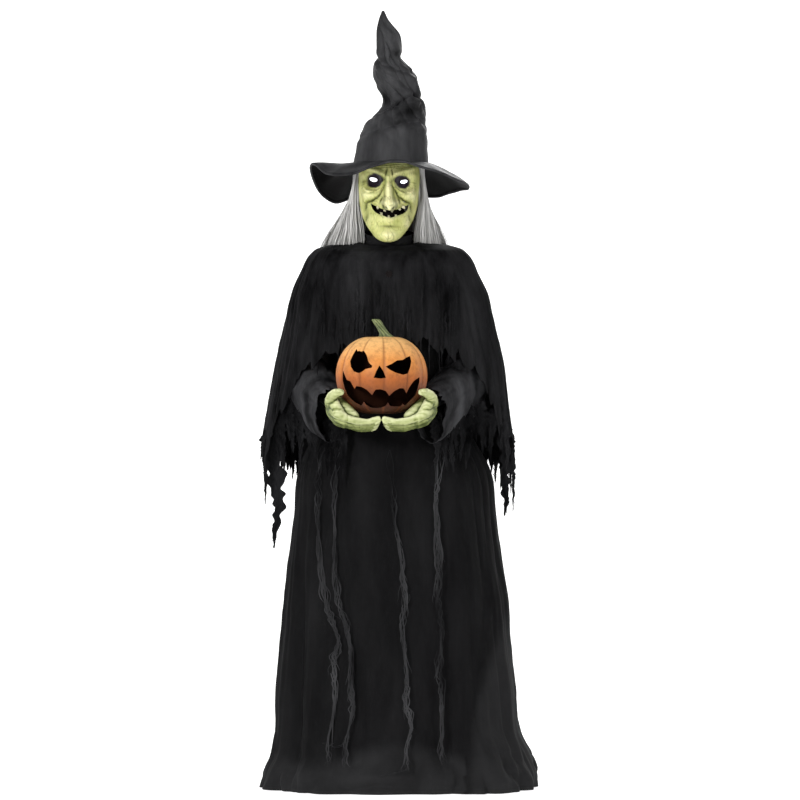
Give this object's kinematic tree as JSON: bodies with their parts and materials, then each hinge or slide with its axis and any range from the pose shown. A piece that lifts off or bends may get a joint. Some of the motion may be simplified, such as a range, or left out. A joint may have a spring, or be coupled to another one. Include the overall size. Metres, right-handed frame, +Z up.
{
  "type": "animated witch figure",
  "caption": "Standing witch figure: cloth robe and cape over a steel frame, turning head with a moving jaw, crumpled cone hat and hands that hold a hollow carved pumpkin lamp.",
  "frame": {"origin": "on the floor, below the centre of the hem's bounding box", "axes": "+Z up, -Y is the figure's front, +X is the right side of the front view"},
  "size_m": [0.658, 0.592, 1.8302],
  "materials": {
    "steel": "satin black powder coat",
    "zinc": "zinc plated",
    "rubber_black": "matt",
    "plastic_black": "fine texture",
    "plastic_grey": "moulded",
    "foam": "open-cell foam",
    "board": "solder mask",
    "cell": "shrink sleeve",
    "lead": "matt jacket",
    "robe_cloth": "dull woven black",
    "gauze": "open black gauze",
    "felt": "charcoal, crumpled",
    "hair": "long grey fibre",
    "face_skin": "painted latex, yellow green",
    "hand_skin": "painted, pale green",
    "pumpkin_skin": "painted, tan orange",
    "stem_green": "painted",
    "lamp_white": "frosted",
    "control_red": "moulded",
    "gear_plastic": "acetal",
    "lens": "frosted clear"
  },
  "bodies": {
    "stand": {"base_bars": "steel", "base_spine": "steel", "foot_pads": "rubber_black", "base_bolts": "zinc", "lower_pole": "steel", "middle_pole": "steel", "upper_pole": "steel", "skirt_hoop": "steel", "shoulder_tee": "plastic_black", "shoulder_tube": "steel", "shoulder_pads": "foam", "upper_arm_left": "steel", "upper_arm_right": "steel", "forearm_left": "steel", "forearm_right": "steel", "arm_joints": "plastic_black", "chest_front": "plastic_black", "chest_rear": "plastic_black", "chest_screws": "zinc", "speaker": "plastic_black", "sound_board": "board", "motion_sensor": "plastic_black", "gearbox_base": "plastic_black", "gearbox_cover": "plastic_black", "neck_motor": "zinc", "control_box": "plastic_black", "control_cover": "plastic_black", "batteries": "cell", "sockets": "plastic_black", "chest_lead": "lead", "robe": "robe_cloth", "sleeve_left": "robe_cloth", "sleeve_right": "robe_cloth", "cape": "gauze", "cape_strips": "gauze", "hand_left": "hand_skin", "hand_right": "hand_skin", "pumpkin_shell": "pumpkin_skin", "pumpkin_stem": "stem_green", "pumpkin_lamp": "lamp_white"},
    "head": {"neck_shaft": "zinc", "neck_gear": "gear_plastic", "head_chassis": "plastic_grey", "skull_front": "plastic_grey", "skull_rear": "plastic_grey", "mask_face": "face_skin", "eye_lenses": "lens", "wig": "hair", "hat_crown": "felt", "hat_brim": "felt", "jaw_motor": "zinc"},
    "jaw": {"jaw_frame": "plastic_grey", "mask_chin": "face_skin"},
    "neck_drive": {"motor_pinion": "gear_plastic"},
    "jaw_drive": {"jaw_pinion": "gear_plastic"},
    "lower_button": {"snap_button_lower": "zinc"},
    "upper_button": {"snap_button_upper": "zinc"},
    "door": {"battery_door": "plastic_black"},
    "knob": {"mode_knob": "control_red"},
    "try_me": {"try_button": "control_red"}
  },
  "joints": [
    {"name": "head_turn", "type": "hinge", "parent": "stand", "child": "head", "pos_m": [-0.026, 0.05, 1.25], "axis": [0, 0, 1], "range_deg": [-35, 35]},
    {"name": "neck_motor_turn", "type": "hinge", "parent": "stand", "child": "neck_drive", "pos_m": [-0.026, 0.0905, 1.236], "axis": [0, 0, 1], "range_deg": [-105, 105]},
    {"name": "jaw_open", "type": "hinge", "parent": "head", "child": "jaw", "pos_m": [-0.026, 0.045, 1.385], "axis": [1, 0, 0], "range_deg": [0, 6]},
    {"name": "jaw_motor_turn", "type": "hinge", "parent": "head", "child": "jaw_drive", "pos_m": [-0.026, 0.045, 1.41], "axis": [1, 0, 0], "range_deg": [-17, 1]},
    {"name": "lower_snap", "type": "slide", "parent": "stand", "child": "lower_button", "axis": [0, 1, 0], "range_m": [0, 0.003], "stiffness_N_per_m": 1500, "springref_m": -0.001},
    {"name": "upper_snap", "type": "slide", "parent": "stand", "child": "upper_button", "axis": [0, 1, 0], "range_m": [0, 0.003], "stiffness_N_per_m": 1500, "springref_m": -0.001},
    {"name": "battery_door_open", "type": "hinge", "parent": "stand", "child": "door", "pos_m": [-0.026, 0.108, 0.603], "axis": [-1, 0, 0], "range_deg": [0, 100]},
    {"name": "mode_slide", "type": "slide", "parent": "stand", "child": "knob", "axis": [1, 0, 0], "range_m": [0, 0.006]},
    {"name": "try_press", "type": "slide", "parent": "stand", "child": "try_me", "axis": [0, -1, 0], "range_m": [0, 0.0025], "stiffness_N_per_m": 600, "springref_m": -0.001}
  ],
  "couplings": [
    {"joint": "neck_motor_turn", "follows": "head_turn", "ratio": -2.8571},
    {"joint": "jaw_motor_turn", "follows": "jaw_open", "ratio": -2.5714}
  ]
}
